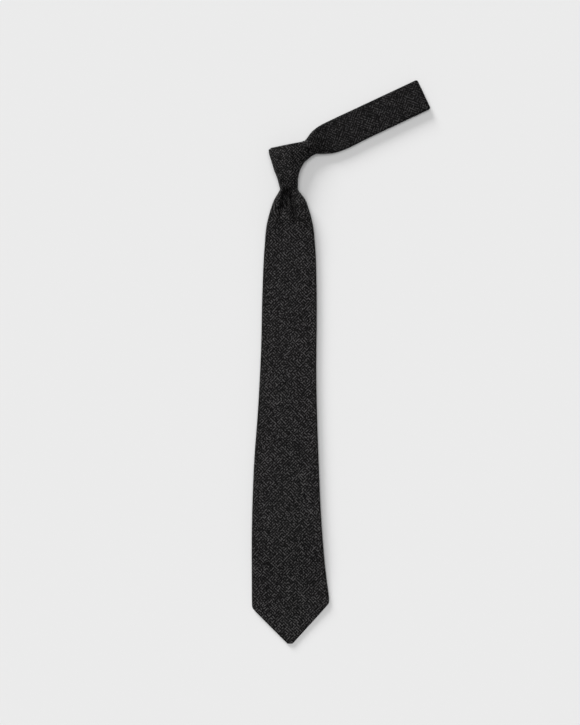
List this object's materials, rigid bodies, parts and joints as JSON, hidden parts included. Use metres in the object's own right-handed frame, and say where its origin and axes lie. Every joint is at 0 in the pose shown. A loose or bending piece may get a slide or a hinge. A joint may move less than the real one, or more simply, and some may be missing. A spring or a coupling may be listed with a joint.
{
  "type": "necktie",
  "caption": "Folded silk necktie tied in a four-in-hand knot, lying flat with a pointed front blade, a tail behind it in a keeper loop, and its neck loop folded double to one side.",
  "frame": {"origin": "middle of the knot's flat back, on the surface that the tie lies on", "axes": "+Y up the tie from the front blade's tip to the knot, +X to the onlooker's right, +Z out of the tie's face"},
  "size_m": [0.1908, 0.6024, 0.022],
  "materials": {
    "silk": "black silk with a fine raised diagonal weave, soft sheen",
    "interlining": "brushed wool interlining, matte",
    "lining": "smooth black satin lining",
    "thread": "black twisted silk sewing thread",
    "brand_label": "woven satin label, blank",
    "care_label": "printed-tape label, blank"
  },
  "bodies": {
    "knot": {"knot_front_wrap": "silk", "wrap_interlining": "interlining", "knot_back_wrap": "silk", "knot_rising_pass": "silk", "knot_tail_strand": "silk", "blade_root": "silk"},
    "front_blade": {"front_blade_shell": "silk", "front_blade_interlining": "interlining", "front_seam_thread": "thread", "keeper_loop": "silk", "keeper_stitches": "thread", "brand_label": "brand_label", "label_stitches": "thread", "tail_throat": "silk"},
    "front_tip": {"front_tip_shell": "silk", "front_tip_interlining": "interlining", "front_tipping": "lining", "tip_seam_thread": "thread", "front_bar_tack": "thread"},
    "tail_blade": {"tail_shell": "silk", "tail_interlining": "interlining", "tail_tipping": "lining", "tail_seam_thread": "thread", "tail_bar_tack": "thread", "care_label": "care_label"},
    "neck_throat": {"neck_throat_shell": "silk"},
    "neck_band": {"neck_upper_ply": "silk", "neck_lower_ply": "silk", "neck_fold": "silk", "upper_ply_interlining": "interlining", "lower_ply_interlining": "interlining", "piecing_seam": "thread"}
  },
  "joints": [
    {"name": "front_blade_lift", "type": "hinge", "parent": "knot", "child": "front_blade", "pos_m": [0, -0.0225, 0.013], "axis": [-1, 0, 0], "range_deg": [0, 90]},
    {"name": "tail_draw", "type": "slide", "parent": "front_blade", "child": "tail_blade", "axis": [0, -1, 0], "range_m": [0, 0.025]},
    {"name": "front_tip_lift", "type": "hinge", "parent": "front_blade", "child": "front_tip", "pos_m": [0, -0.4, 0.009], "axis": [-1, 0, 0], "range_deg": [0, 90]},
    {"name": "neck_loop_swing", "type": "hinge", "parent": "knot", "child": "neck_throat", "pos_m": [0.0241, 0.0229, 0.004], "axis": [0, 0, 1], "range_deg": [-25, 35]},
    {"name": "neck_loop_draw", "type": "slide", "parent": "neck_throat", "child": "neck_band", "axis": [-0.9048, -0.4258, 0], "range_m": [0, 0.0125]}
  ],
  "couplings": [
    {"joint": "neck_loop_draw", "follows": "tail_draw", "ratio": 0.5}
  ]
}
